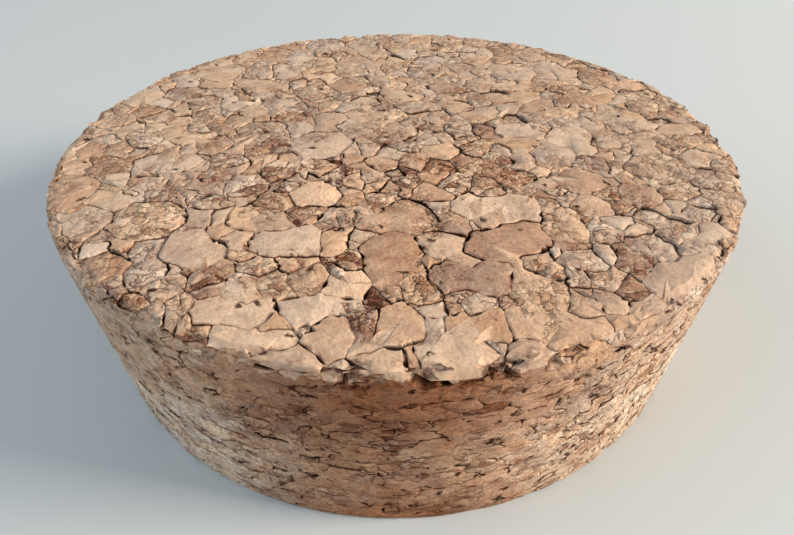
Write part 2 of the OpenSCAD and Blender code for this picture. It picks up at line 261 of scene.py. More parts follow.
def cut_granule(blank, laid, tree, n):
    """The skin of granule n: the blank, cut between it and each neighbour."""
    p, radius, family = laid[n]
    bm = blank.copy()
    for way in (Vector(w) for w in ((0, 0, 1), (0, 0, -1), (1, 0, 0), (-1, 0, 0), (0, 1, 0), (0, -1, 0))):
        if not cut(bm, p + way * CLEAR, way):
            bm.free()
            return None
    reach = max((v.co - p).length for v in bm.verts)
    for q, i, gap in tree.find_range(p, NEIGHBOURS):
        if i == n:
            continue
        if (gap * gap + radius * radius - LARGEST * LARGEST) / (2 * gap) > reach:
            break
        share = (gap * gap + radius * radius - laid[i][1] ** 2) / (2 * gap * gap)
        if share * gap > reach:
            continue
        if not cut(bm, p + (q - p) * share, q - p):
            bm.free()
            return None
        reach = max((v.co - p).length for v in bm.verts)
    granule, cell = bm.faces.layers.int["granule"], bm.faces.layers.int["cell"]
    for face in bm.faces:
        face[granule] = family
        face[cell] = n
    return bm


def cut_mosaic(laid):
    tree = tree_of(laid)
    blank = turned_blank()
    mosaic = bmesh.new()
    mosaic.faces.layers.int.new("granule")
    mosaic.faces.layers.int.new("cell")
    carrier = bpy.data.meshes.new("granule")
    for n in range(len(laid)):
        granule = cut_granule(blank, laid, tree, n)
        if granule:
            granule.to_mesh(carrier)
            mosaic.from_mesh(carrier)
            granule.free()
    bpy.data.meshes.remove(carrier)
    blank.free()
    return mosaic


# ---- Shaping the granules -------------------------------------------------
noise.seed_set(5)               # noise_vector would differ on each run without it


def is_dark(n):
    """Whether granule n is a piece of dark bark."""
    return hashed(n, 13) < DARK


def is_crevice(edge, layer):
    if len(edge.link_faces) != 2:
        return False
    a, b = sorted(face[layer] for face in edge.link_faces)
    if a != b and (is_dark(a) or is_dark(b)):
        return True
    flush = max(v.co.z for v in edge.verts) < HEIGHT - 1.0
    tight = FLANK_TIGHT - 0.25 * rough_side(edge.verts[0].co) if flush else TIGHT
    return a != b and hashed(a, b, 20) > tight


def wander(p):
    """How far the outline of a granule strays at the point p."""
    return noise.noise_vector(p * 0.33) * 0.55 + noise.noise_vector(p * 0.9 + Vector((31, 7, 3))) * 0.26 \
        + noise.noise_vector(p * 2.3) * 0.07


def stray(co):
    """Move a point along the skin, so that straight cuts become worn outlines."""
    r = math.hypot(co.x, co.y)
    out = Vector((co.x, co.y, 0)) / max(r, 1e-6)
    around = Vector((-out.y, out.x, 0))
    move = wander(co)
    on_top = co.z > HEIGHT - 1e-3
    on_foot = co.z < 1e-3
    if on_top or on_foot:
        edge = (TOP_R - 0.6 if on_top else FOOT_R - 0.35) - r
        inner = smooth(0.0, 1.6, edge)
        return co + out * move.dot(out) * inner + around * move.dot(around)
    inner = smooth(0.0, 1.6, min(HEIGHT - 0.6 - co.z, co.z - 0.35))
    z = co.z + move.z * 0.6 * inner
    placed = Vector((co.x, co.y, 0)) + around * move.dot(around)
    placed *= (r + flank_r(z) - flank_r(co.z)) / max(placed.length, 1e-6)
    placed.z = z
    return placed


def shape_outlines(mosaic):
    layer = mosaic.faces.layers.int["granule"]
    bmesh.ops.dissolve_degenerate(mosaic, dist=SHORTEST, edges=mosaic.edges)
    lengths = {}
    for edge in mosaic.edges:
        border = len({face[layer] for face in edge.link_faces}) == 2
        if border and max(v.co.z for v in edge.verts) > 0.05:
            step = TOP_STEP if min(v.co.z for v in edge.verts) > HEIGHT - 1.8 else FLANK_STEP
            parts = int(edge.calc_length() / (step if is_crevice(edge, layer) else 1.0))
            if parts:
                lengths.setdefault(parts, []).append(edge)
    for edge in mosaic.edges:
        a, b = (v.co for v in edge.verts)
        if abs(a.z - b.z) < 0.02 and a.z > HEIGHT - 1.75 and abs(a.xy.length - b.xy.length) < 0.05 \
                and a.xy.length > TOP_R - 1.7 and len({face[layer] for face in edge.link_faces}) == 1:
            parts = int(edge.calc_length() / RIM_STEP)
            if parts:
                lengths.setdefault(parts, []).append(edge)
    for parts, edges in lengths.items():
        bmesh.ops.bisect_edges(mosaic, edges=edges, cuts=parts)
    for v in mosaic.verts:
        v.co = stray(v.co)


def skin_normal(co):
    """The way out of the plug at a point of its skin, turning over the rim and the foot's edge."""
    r = math.hypot(co.x, co.y)
    side = Vector((co.x / max(r, 1e-6), co.y / max(r, 1e-6), -(TOP_R - FOOT_R) / HEIGHT))
    if co.z > HEIGHT / 2:
        turn = smooth(-1.0, 1.0, (HEIGHT - co.z) - (TOP_R - r))
        end = Vector((0, 0, 1))
    else:
        turn = smooth(-0.5, 0.5, co.z - (FOOT_R - r))
        end = Vector((0, 0, -1))
    return end.lerp(side, turn).normalized()


def kept_in(co):
    """The point, moved back to the skin of the plug if it has passed it."""
    z = min(HEIGHT - 0.002, max(0.0, co.z))
    r = math.hypot(co.x, co.y)
    share = min(1.0, flank_r(z) / max(r, 1e-6))
    return Vector((co.x * share, co.y * share, z))


def rough_side(co):
    """1 where the flank was torn rather than sanded, 0 where it is smooth."""
    torn = 1 - smooth(0.6, 1.1, abs(math.atan2(co.y, co.x) + 0.35))
    return max(torn, 0.7 * smooth(0.1, 0.5, noise.noise(co * 0.045 + Vector((8, 3, 5)))))


def rim_dents():
    """Places where crumbs have broken out of the rim, as a tree and a list of (radius, depth)."""
    chance = random.Random(5)
    dents = [(Vector(place), radius, depth) for place, radius, depth in PLACED_DENTS]
    for _ in range(DENTS):
        turn = chance.uniform(0, math.tau)
        r = TOP_R - chance.uniform(0, 1.0)
        place = Vector((r * math.cos(turn), r * math.sin(turn), HEIGHT - chance.uniform(0, 1.3)))
        radius = chance.uniform(0.5, 1.3)
        dents.append((place, radius, radius * chance.uniform(0.35, 0.9)))
    tree = KDTree(len(dents))
    for n, dent in enumerate(dents):
        tree.insert(dent[0], n)
    tree.balance()
    return tree, dents


DENT_TREE, DENT_LIST = rim_dents()


def dent_at(co):
    """How deep the dents of the rim are at a point."""
    deepest = 0.0
    for _, n, far in DENT_TREE.find_range(co, 3.5):
        _, radius, depth = DENT_LIST[n]
        deepest = max(deepest, depth * math.exp(-(far / radius) ** 4))
    return deepest


def rim_nearness(co):
    """1 on the rim, falling to 0 about 2 mm away from it."""
    away = (HEIGHT - co.z) + max(0.0, TOP_R - math.hypot(co.x, co.y))
    return math.exp(-(away / 1.1) ** 2)


def ragged(co):
    """How far the rim has crumbled at a point, whichever granule it is on."""
    near = rim_nearness(co)
    if near < 0.01:
        return 0.0
    crumbled = 0.12
    for depth, fineness in ((1.1, 0.45), (1.0, 1.3), (0.5, 3.1)):
        crumbled += depth * max(0.0, noise.noise(co * fineness))
    return dent_at(co) + near * crumbled


class Granule:
    """What one granule looks like: how far it has sunk and tipped, and its colour and grain."""

    def __init__(self, n, laid):
        self.place, self.radius, family = laid[n]
        self.place = Vector((self.place.x, self.place.y, self.place.z / PRESS))
        self.tone = 0.44 + 0.33 * hashed(n, 1)
        if is_dark(n):
            self.tone = (0.08 if self.radius < 1.7 else 0.28) + 0.14 * hashed(n, 14)
        self.warmth = hashed(n, 2)
        self.tip = Vector((hashed(n, 3) - 0.5, hashed(n, 4) - 0.5, hashed(n, 5) - 0.5)) * 0.07
        self.sunk = 0.16 * hashed(n, 6) ** 2
        self.worn = 1.1 * hashed(n, 7) ** 2
        self.reach = 1.6 * hashed(n, 22) ** 2
        self.firm = False
        self.shoulder = 0.15 + 0.35 * hashed(n, 17)
        self.pillow = 0.04 + 0.16 * hashed(n, 18)
        grain = Vector((hashed(n, 8) - 0.5, hashed(n, 9) - 0.5, (hashed(n, 10) - 0.5) * 0.3))
        self.grain = grain.normalized()
        self.crumbly = 1.0 if hashed(n, 16) < CRUMBLY else 0.0
        first = 0
        for tone, warmth, parts in PLACED + KNOBS:
            if n == first:
                self.tone, self.warmth, self.sunk, self.crumbly = tone, warmth, 0.02, -1.0
                if len(parts[0]) == 4:
                    self.firm, self.reach, self.shoulder, self.pillow = True, 1.8, 0.5, 0.25
            first += len(parts)
        if family == n and self.radius < 0.95 and hashed(n, 11) < 0.12:
            self.sunk = 0.25 + 0.35 * hashed(n, 12)

    def drop(self, co):
        """How far the granule's face lies under the skin at a point."""
        if co.z < 0.06:
            return 0.0
        flat = 1.0 if co.z > HEIGHT - RIM_DROP else 0.25 + 0.75 * rough_side(co)
        low = flat * (self.sunk + max(0.0, self.tip.dot(co - self.place) + 0.05))
        if self.firm:
            return low + 0.3 * rim_nearness(co)
        return low + self.worn * rim_nearness(co) + ragged(co)

    def slump(self, co):
        """How far the granule's edge lies under the middle of its face."""
        if self.firm or co.z > HEIGHT - RIM_DROP:
            return self.pillow
        return self.pillow * (0.3 + 0.7 * rough_side(co)) if co.z > 0.06 else 0.0


def crevice_between(a, b, co, level):
    """Half width and depth of the crevice between two granules at a point."""
    low, high = min(a, b), max(a, b)
    loose = hashed(low, high, 21)
    swell = max(0.0, 0.6 + 1.9 * noise.noise(co * 0.8 + Vector((5, 9, 2)))) * level
    return (0.02 + 0.17 * loose ** 2) * swell, (0.08 + 0.9 * loose ** 1.5) * swell


def shape_granules(mosaic, laid):
    layer = mosaic.faces.layers.int["granule"]
    half = mosaic.verts.layers.float.new("half")
    deep = mosaic.verts.layers.float.new("deep")
    # crevice: how far into a crevice a corner lies; the material paints shade in the crevices and dents, and
    # a highlight on the lips, from it
    crevice = mosaic.verts.layers.float.new("crevice")
    granules = {}
    for face in mosaic.faces:
        n = face[layer]
        if n not in granules:
            granules[n] = Granule(n, laid)

    # How wide and how deep the crevices are at each of their corners
    split = [edge for edge in mosaic.edges if is_crevice(edge, layer)]
    borders = {}
    for edge in split:
        for v in edge.verts:
            borders.setdefault(v, []).append(edge)
    gaps = open_gaps(borders)
    for v, edges in borders.items():
        pairs = [tuple(face[layer] for face in e.link_faces) for e in edges]
        on_flank = 0.01 < v.co.z < HEIGHT - RIM_DROP
        level = 0.5 if v.co.z < 0.01 else 1.0
        if on_flank:
            upright = max(abs((e.verts[0].co - e.verts[1].co).normalized().z) for e in edges)
            level = (0.95 + 0.5 * rough_side(v.co)) * (1 - 0.6 * upright)
        sizes = [crevice_between(a, b, v.co, level) for a, b in pairs]
        width = sum(s[0] for s in sizes) / len(sizes)
        depth = sum(s[1] for s in sizes) / len(sizes)
        if len(pairs) > 2:
            chance = hashed(round(v.co.x, 2), round(v.co.y, 2), 23)
            width, depth = width + 0.05 + 0.2 * chance, depth + 0.12 + 0.8 * chance
        _, gap, far = gaps.find(v.co)
        if v.co.z > 0.4:
            opened = 1.8 if gap < len(PLACED_GAPS) else 0.5 + hashed(gap, 19)
            opened *= math.exp(-(far / 0.65) ** 2)
            if on_flank:
                opened *= 0.6
            width, depth = width + 0.55 * opened, depth + 1.3 * opened
        around = {n for pair in pairs for n in pair}
        if len(pairs) == 1:
            width, depth = 0.0, 0.02
        v[half] = width
        v[deep] = 0.1
        if v.co.z > 0.01:
            lowest = max(granules[n].drop(v.co) + granules[n].slump(v.co) for n in around)
            v[deep] = max(depth + ragged(v.co), lowest + 0.06)
    bmesh.ops.split_edges(mosaic, edges=split)
    large = [face for face in mosaic.faces if face.calc_area() > POKED]
    bmesh.ops.poke(mosaic, faces=large, center_mode="MEAN_WEIGHTED")

    # For each corner on a border: the way into its own granule, and the room there
    islands = {}
    for face in mosaic.faces:
        islands.setdefault(face[layer], []).append(face)
    ways = {}
    for n, faces in islands.items():
        border = {}
        for face in faces:
            for loop in face.loops:
                edge = loop.edge
                if edge.is_boundary:
                    way = face.normal.cross(loop.link_loop_next.vert.co - loop.vert.co).normalized()
                    for v in edge.verts:
                        border.setdefault(v, []).append(way)
        ends = {v: sum(w, Vector()) for v, w in border.items()}
        points = [v.co for v in ends]
        for v, total in ends.items():
            way = total.normalized()
            stretch = 1.0 / max(0.6, way.dot(border[v][0])) if way.length else 1.0
            room = 9.0
            co = v.co
            for q in points:
                gap = q - co
                ahead = gap.dot(way)
                if ahead > 1e-4:
                    room = min(room, gap.length_squared / (2 * ahead))
            ways[v] = (way * stretch, room)

    # The walls of the crevices: a lip along each border, and a bottom under the lip
    first = [e for e in mosaic.edges if e.is_boundary]
    grown = bmesh.ops.extrude_edge_only(mosaic, edges=first)["geom"]
    lips = {}
    for item in grown:
        if isinstance(item, bmesh.types.BMVert):
            inner = [e.other_vert(item) for e in item.link_edges if e.other_vert(item) in ways]
            lips[item] = inner[0]
    second = [e for e in grown if isinstance(e, bmesh.types.BMEdge) and e.is_boundary]
    grown = bmesh.ops.extrude_edge_only(mosaic, edges=second)["geom"]
    bottoms = {}
    for item in grown:
        if isinstance(item, bmesh.types.BMVert):
            inner = [e.other_vert(item) for e in item.link_edges if e.other_vert(item) in lips]
            bottoms[item] = lips[inner[0]]

    # Faces, lips and bottoms are moved from the plain skin to their places
    start = {v: v.co.copy() for v in ways}
    whose = {}
    for n, faces in islands.items():
        for face in faces:
            for v in face.verts:
                whose[v] = n
    for bottom, v in bottoms.items():
        co = start[v]
        bottom.co = co - skin_normal(co) * v[deep]
        # The bottom of a crevice is marked darker the deeper it is: painted shade
        bottom[crevice] = 0.5 + 0.5 * smooth(0.05, 0.9, v[deep])
    for lip, v in lips.items():
        co, (way, room) = start[v], ways[v]
        low = granules[whose[v]].drop(co)
        step = min(v[half], 0.3 * room)
        low += granules[whose[v]].slump(co)
        lip.co = kept_in(co + way * step) - skin_normal(co) * (low + min(0.16, 0.35 * v[deep]))
        lip[crevice] = 0.5
    inner = {}
    for v, n in whose.items():
        co = v.co.copy()
        low = granules[n].drop(co)
        # Dents in the rim are marked as crevice, so that they are painted in shade
        v[crevice] = 0.6 * smooth(0.25, 0.9, dent_at(co))
        inner[v] = kept_in(co - skin_normal(co) * low)
        if v in ways:
            low += granules[n].slump(co)
            inner[v] = kept_in(co + ways[v][0] * min(v[half], 0.3 * ways[v][1]) - skin_normal(co) * low)
            way, room = ways[v]
            step = min(v[half] + (0.08 if co.z < 0.01 else granules[n].shoulder), 0.45 * room)
            co = kept_in(co + way * step)
        v.co = kept_in(co - skin_normal(v.co) * low)
    tint(mosaic, granules, whose, lips)
    bmesh.ops.remove_doubles(mosaic, verts=list(bottoms), dist=1e-5)
    return inner


def open_gaps(borders):
    """The meeting points of three granules that have opened into a gap, the placed ones first."""
    meetings = [v.co.copy() for v, edges in borders.items() if len(edges) > 2 and v.co.z > 0.4]
    chosen = [min(meetings, key=lambda co: (co - Vector((x, y, HEIGHT))).length) for x, y in PLACED_GAPS]
    for co in meetings:
        if hashed(round(co.x, 2), round(co.y, 2), round(co.z, 2)) < GAPS * (1 + 2 * rim_nearness(co)):
            chosen.append(co)
    tree = KDTree(len(chosen))
    for n, co in enumerate(chosen):
        tree.insert(co, n)
    tree.balance()
    return tree


def tint(mosaic, granules, whose, lips):
    """Give each face the tone, the hue and the grain of its granule."""
    tone = mosaic.faces.layers.float.new("tone")
    cell = mosaic.faces.layers.int["cell"]
    warmth = mosaic.faces.layers.float.new("warmth")
    crumbly = mosaic.faces.layers.float.new("crumbly")
    reach = mosaic.faces.layers.float.new("reach")
    torn = mosaic.faces.layers.float.new("torn")
    grain = mosaic.faces.layers.float_vector.new("grain")
    for face in mosaic.faces:
        n = None
        for v in face.verts:
            if v in whose or v in lips:
                n = whose[lips.get(v, v)]
                break
        face[tone] = granules[n].tone + 0.12 * (hashed(face[cell], 15) - 0.5)
        face[warmth] = granules[n].warmth
        face[crumbly] = granules[n].crumbly
        face[reach] = granules[n].reach
        face[torn] = rough_side(face.calc_center_median())
        face[grain] = granules[n].grain


def leaning(faces, least):
    """The corners, in a fixed order, of the triangles that lean too far away from the skin."""
    corners = {}
    for face in faces:
        face.normal_update()
        if face.normal.dot(skin_normal(face.calc_center_median())) < least:
            corners.update(dict.fromkeys(face.verts))
    return corners


def unfold(mosaic, inner):
    """Draw back the shoulders of granules where a triangle has turned over."""
    faces = [face for face in mosaic.faces if all(v in inner for v in face.verts)]
    for _ in range(6):
        for v in leaning(faces, 0.3):
            v.co = v.co.lerp(inner[v], 0.6)
    for _ in range(5):
        for v in leaning(faces, 0.0):
            near = [edge.other_vert(v).co for edge in v.link_edges if edge.calc_length() < 0.6]
            if near:
                v.co = v.co.lerp(sum(near, Vector()) / len(near), 0.4)


def drop_fins(mosaic):
    """Take out pairs of triangles that lie back to back on the same three corners."""
    corners = {}
    for face in mosaic.faces:
        corners.setdefault(frozenset(face.verts), []).append(face)
    fins = [face for faces in corners.values() if len(faces) > 1 for face in faces]
    bmesh.ops.delete(mosaic, geom=fins, context="FACES")


# Where the map holds the top, the foot and the flank's two strips
TOP_AT = (0.32, 0.68)
FOOT_AT = (0.815, 0.80)
STRIPS_AT = (0.01, 0.012)
NEXT_STRIP = 0.18
FOOT_SCALE = 0.0037
STRIP_SCALE = 0.0053


def flat_uv(mosaic):
    """Unroll the skin: the top beside the foot, and the flank below them in two strips."""
    layer = mosaic.loops.layers.uv.new("OFBake")
    half_turn = math.pi * TOP_R
    scale = 0.98 / half_turn
    for face in mosaic.faces:
        middle = face.calc_center_median()
        r = math.hypot(middle.x, middle.y)
        if middle.z < 0.3 and r < FOOT_R - 0.2:
            for loop in face.loops:
                co = loop.vert.co
                loop[layer].uv = (FOOT_AT[0] + co.x * FOOT_SCALE, FOOT_AT[1] + co.y * FOOT_SCALE)
        elif HEIGHT - middle.z < TOP_R - r:
            for loop in face.loops:
                co = loop.vert.co
                loop[layer].uv = (TOP_AT[0] + co.x * scale, TOP_AT[1] + co.y * scale)
        else:
            turn = math.atan2(middle.y, middle.x)
            row = 0 if turn < 0 else 1
            for loop in face.loops:
                co = loop.vert.co
                az = math.atan2(co.y, co.x)
                az += math.tau * round((turn - az) / math.tau)
                along = (az + math.pi if row == 0 else az) * TOP_R
                up = STRIPS_AT[1] + row * NEXT_STRIP + co.z * STRIP_SCALE
                loop[layer].uv = (STRIPS_AT[0] + along * scale, up)


def stopper():
    laid = lay_out()
    mosaic = cut_mosaic(laid)
    bmesh.ops.remove_doubles(mosaic, verts=mosaic.verts, dist=2e-4)
    bmesh.ops.holes_fill(mosaic, edges=[e for e in mosaic.edges if e.is_boundary], sides=0)
    bmesh.ops.scale(mosaic, vec=(1, 1, 1 / PRESS), verts=mosaic.verts)
    shape_outlines(mosaic)
    inner = shape_granules(mosaic, laid)
    bmesh.ops.triangulate(mosaic, faces=mosaic.faces, quad_method="BEAUTY", ngon_method="BEAUTY")
    drop_fins(mosaic)
    bmesh.ops.recalc_face_normals(mosaic, faces=mosaic.faces)
    if mosaic.calc_volume(signed=True) < 0:
        bmesh.ops.reverse_faces(mosaic, faces=mosaic.faces)
    unfold(mosaic, inner)
    flat_uv(mosaic)
    bmesh.ops.scale(mosaic, vec=(0.001, 0.001, 0.001), verts=mosaic.verts)
    for face in mosaic.faces:
        face.smooth = True
    mesh = bpy.data.meshes.new("cork_stopper_skin")
    mosaic.to_mesh(mesh)
    mosaic.free()
    mesh.set_sharp_from_angle(angle=math.radians(25))
    skin = bpy.data.objects.new("cork_stopper_skin", mesh)
    bpy.context.scene.collection.objects.link(skin)
    return skin


# ---- Materials -------------------------------------------------------------
def linear(red, green, blue):
    """A colour as a monitor shows it, 0 to 255, in the light that the shader works in."""
    def channel(value):
        value /= 255
        return value / 12.92 if value <= 0.04045 else ((value + 0.055) / 1.055) ** 2.4
    return channel(red), channel(green), channel(blue), 1.0


class Nodes:
    """A node tree with short calls to add nodes and join them."""

    def __init__(self, tree):
        self.tree = tree

    def add(self, kind, inputs=(), out=0, **settings):
        node = self.tree.nodes.new("ShaderNode" + kind)
        for name, value in settings.items():
            setattr(node, name, value)
        for key, value in dict(inputs).items():
            self.put(value, node.inputs[key])
        return node if out is None else node.outputs[out]

    def put(self, value, socket):
        if isinstance(value, bpy.types.NodeSocket):
            self.tree.links.new(value, socket)
        else:
            socket.default_value = value

    def math(self, operation, a, b=0.0):
        return self.add("Math", {0: a, 1: b}, operation=operation)

    def times(self, a, b):
        return self.math("MULTIPLY", a, b)

    def plus(self, a, b):
        return self.math("ADD", a, b)

    def vector(self, operation, a, b=(0, 0, 0), out="Vector", **inputs):
        return self.add("VectorMath", {0: a, 1: b, **inputs}, out=out, operation=operation)

    def mix(self, share, a, b, blend="MIX"):
        node = self.tree.nodes.new("ShaderNodeMix")
        node.data_type = "RGBA"
        node.blend_type = blend
        node.clamp_factor = True
        self.put(share, node.inputs["Factor"])
        self.put(a, node.inputs["A"])
        self.put(b, node.inputs["B"])
        return node.outputs["Result"]

    def mix_value(self, share, a, b):
        return self.add("Mix", {0: share, 2: a, 3: b}, data_type="FLOAT")

    def span(self, value, low, high, to_low=0.0, to_high=1.0):
        return self.add("MapRange", {"Value": value, "From Min": low, "From Max": high,
                                     "To Min": to_low, "To Max": to_high})

    def ramp(self, value, stops):
        node = self.tree.nodes.new("ShaderNodeValToRGB")
        points = node.color_ramp.elements
        points[0].position, points[0].color = stops[0]
        points[1].position, points[1].color = stops[-1]
        for place, colour in stops[1:-1]:
            points.new(place).color = colour
        self.put(value, node.inputs["Fac"])
        return node.outputs["Color"]


# Colours of the cork itself, from bark to fresh
BARK_BROWN = linear(90, 55, 40)
BROWN = linear(160, 125, 105)
TAN = linear(190, 160, 135)
CREAM = linear(235, 210, 185)
# Colours laid over it
GROWTH_LINE = linear(128, 84, 66)
ASHEN = linear(158, 132, 122)
RED_BARK = linear(110, 54, 33)
DARK_FLECK = linear(90, 40, 25)
# Painted highlight on the rounded lips of the granules
LIP_HIGHLIGHT = linear(232, 200, 172)
SPECK = linear(98, 46, 27)
CRACK = linear(54, 22, 12)
HOLE = linear(44, 17, 9)
# Painted shade in the crevices, over the dark binder that fills them: the deeper, the darker
CREVICE_SHADE_AND_BINDER = linear(26, 8, 3)
# What a colour is multiplied by: first on single granules, then in the middle and on the flank
COOLER = (0.95, 1.0, 1.07, 1)
WARMER = (1.05, 0.96, 0.86, 1)
WARM_MIDDLE = (1.0, 0.93, 0.88, 1)
PALE_BAND = (1.25, 1.3, 1.3, 1)
# Painted warm shade on the front of the flank
WARM_FRONT_SHADE = (0.6, 0.4, 0.3, 1)
# Painted cool light: the lower front-left of the flank made paler and bluer
COOL_LIGHT_LOW_LEFT = (1.1, 1.2, 1.3, 1)
# Painted light: the front-right of the flank, which faces the key lamp, made paler
KEY_LIT_SIDE = (1.3, 1.35, 1.4, 1)

MIDDLE = (0.0, -25.0, HEIGHT)       # around this point of the top the grain is strongest


def cork_material():
    material = bpy.data.materials.new("agglomerated_cork")
    material.use_nodes = True
    tree = material.node_tree
    tree.nodes.clear()
    n = Nodes(tree)

    def face_value(name, out="Fac"):
        return n.add("Attribute", out=out, attribute_name=name)

    def clouds(vector, scale, detail=2.0, rough=0.5, out="Fac"):
        inputs = {"Vector": vector, "Scale": scale, "Detail": detail, "Roughness": rough}
        return n.add("TexNoise", inputs, out=out)

    def cells(vector, scale, feature="F1", out="Distance"):
        return n.add("TexVoronoi", {"Vector": vector, "Scale": scale}, out=out, feature=feature)

    # Where things are, in millimetres
    place = n.vector("SCALE", n.add("TexCoord", out="Object"), Scale=1000.0, out="Vector")
    z = n.add("SeparateXYZ", {"Vector": place}, out="Z")
    over_foot = n.span(z, 0.1, 0.4)
    around = n.vector("LENGTH", n.vector("MULTIPLY", place, (1, 1, 0)), out="Value")
    turn = n.math("SUBTRACT", n.math("SUBTRACT", HEIGHT, z), n.math("SUBTRACT", TOP_R, around))
    turn = n.math("SUBTRACT", turn, face_value("reach"))
    flank = n.span(n.plus(turn, n.span(clouds(place, 0.9, 3.0), 0.3, 0.7, -0.9, 0.5)), -0.1, 0.3)
    flat = n.math("SUBTRACT", 1.0, flank)
    layered = n.vector("MULTIPLY", place, (1, 1, 1.7))

    def strays(vector, scale, far):
        centred = n.vector("SUBTRACT", clouds(vector, scale, 2.0, out="Color"), (0.5, 0.5, 0.5))
        return n.vector("SCALE", centred, Scale=far)

    bent = n.vector("ADD", layered, n.vector("ADD", strays(layered, 0.45, 3.0), strays(layered, 2.0, 0.9)))

    # Along and across the grain of a granule
    grain = face_value("grain", "Vector")
    along = n.vector("DOT_PRODUCT", place, grain, out="Value")
    across = n.vector("DOT_PRODUCT", place, n.vector("CROSS_PRODUCT", grain, (0, 0, 1)), out="Value")
    tone, warmth, crumbly = face_value("tone"), face_value("warmth"), face_value("crumbly")
    crevice = face_value("crevice")
    own = n.times(warmth, 60.0)
    lie = n.add("CombineXYZ", {0: n.times(along, 0.5), 1: n.times(across, 1.1), 2: own})
    pressed = n.vector("MULTIPLY", bent, (0.42, 0.42, 0.52))
    fibre_way = n.add("Mix", {0: flank, 4: lie, 5: pressed}, out=1, data_type="VECTOR")

    fibres = clouds(fibre_way, 1.5, 6.0, 0.68)
    from_middle = n.vector("LENGTH", n.vector("SUBTRACT", place, MIDDLE), out="Value")
    middle = n.span(from_middle, 38.0, 12.0)
    mottle = clouds(place, 0.42, 3.0, 0.55)
    patches = clouds(place, 0.16, 2.0)
    nap = clouds(layered, 2.6, 5.0, 0.72)
    fuzz = clouds(layered, 4.5, 3.0, 0.7)
    torn = n.times(n.times(flank, over_foot), face_value("torn"))

    def strength(at_edge, in_middle, on_flank):
        """A value that differs between the edge of the top, its middle and the flank."""
        return n.mix_value(flank, n.span(middle, 0.0, 1.0, at_edge, in_middle), on_flank)

    # Thin growth lines on some granules
    wave = n.plus(n.times(across, 0.7), n.times(clouds(place, 0.3), 2.2))
    line = n.math("PINGPONG", n.plus(wave, own), 0.5)
    lined = n.times(n.math("POWER", n.span(line, 0.16, 0.0), 2.0), n.span(warmth, 0.62, 0.75))
    lined = n.times(lined, n.times(flat, n.span(mottle, 0.40, 0.55)))

    # Slits and pores of the bark
    slit_way = n.vector("MULTIPLY", fibre_way, (1.0, 0.75, 1.0))
    slit_cell = cells(slit_way, 0.55, out="Color")
    uneven = n.span(nap, 0.3, 0.7, -0.10, 0.10)
    narrow = n.span(n.plus(cells(slit_way, 0.55), uneven), 0.20, 0.11)
    slit = n.times(narrow, n.math("LESS_THAN", slit_cell, n.span(flank, 0.0, 1.0, 0.25, 0.05)))
    pit_way = n.vector("ADD", place, strays(place, 1.3, 1.0))
    pit_cell = cells(pit_way, 0.42, out="Color")
    pit = n.span(n.plus(cells(pit_way, 0.42), uneven), 0.19, 0.08)
    pit = n.times(pit, n.math("LESS_THAN", pit_cell, n.span(flank, 0.0, 1.0, 0.18, 0.30)))
    holes = n.math("MAXIMUM", slit, pit)

    # Crumbs: a finer mosaic, plain on some granules and faint on the rest
    crumb = cells(bent, 0.72)
    crumb_edge = cells(bent, 0.72, "DISTANCE_TO_EDGE")
    shards = n.add("SeparateColor", {"Color": cells(bent, 0.72, out="Color")}, out=None)
    ragged_edge = n.plus(crumb_edge, n.span(nap, 0.3, 0.7, -0.03, 0.03))
    crumb_line = n.times(n.span(ragged_edge, 0.09, 0.01), n.span(clouds(place, 0.75, 2.0), 0.40, 0.58))
    faint = n.times(n.span(patches, 0.45, 0.57), n.span(crumbly, -1.0, 0.0, 0.0, 0.75))
    broken = n.math("MAXIMUM", crumbly, faint)
    broken = n.times(broken, n.span(flank, 0.0, 1.0, 1.0, 0.75))
    cracks = n.times(n.times(crumb_line, broken), strength(0.55, 1.0, 0.4))

    # Thin curved cracks and dark pits of the flank
    seam_way = n.vector("MULTIPLY", bent, (0.20, 0.20, 0.24))
    seam = n.span(cells(seam_way, 0.8, "DISTANCE_TO_EDGE"), 0.04, 0.012)
    seam = n.times(seam, n.span(clouds(place, 0.4, 3.0), 0.49, 0.58))
    seam = n.times(seam, flank)

    # Colour
    value = n.mix_value(flank, tone, n.plus(n.times(tone, 0.4), 0.34))
    value = n.plus(value, n.span(mottle, 0.3, 0.7, -0.13, 0.13))
    value = n.plus(value, n.times(n.span(fibres, 0.3, 0.7, -0.15, 0.13), n.span(flank, 0.0, 1.0, 1.0, 0.6)))
    value = n.plus(value, n.times(n.span(nap, 0.3, 0.7, -0.16, 0.14), strength(0.8, 1.3, 2.2)))
    value = n.plus(value, n.times(n.span(shards.outputs[0], 0.0, 1.0, -0.35, 0.25), broken))
    value = n.plus(value, n.times(n.span(fuzz, 0.3, 0.7, -0.3, 0.3), torn))
    calm = n.plus(n.times(value, 0.62), 0.185)
    value = n.mix_value(n.math("MAXIMUM", flank, middle), calm, value)
    colour = n.ramp(value, [(0.0, BARK_BROWN), (0.2, BROWN), (0.5, TAN), (1.0, CREAM)])
    cool = n.mix(1.0, colour, COOLER, "MULTIPLY")
    warm = n.mix(1.0, colour, WARMER, "MULTIPLY")
    colour = n.mix(warmth, cool, warm)
    colour = n.mix(n.times(lined, 0.4), colour, GROWTH_LINE)
    ashen = n.times(n.span(clouds(layered, 0.24, 3.0, 0.6), 0.54, 0.66), 0.45)
    colour = n.mix(ashen, colour, ASHEN)

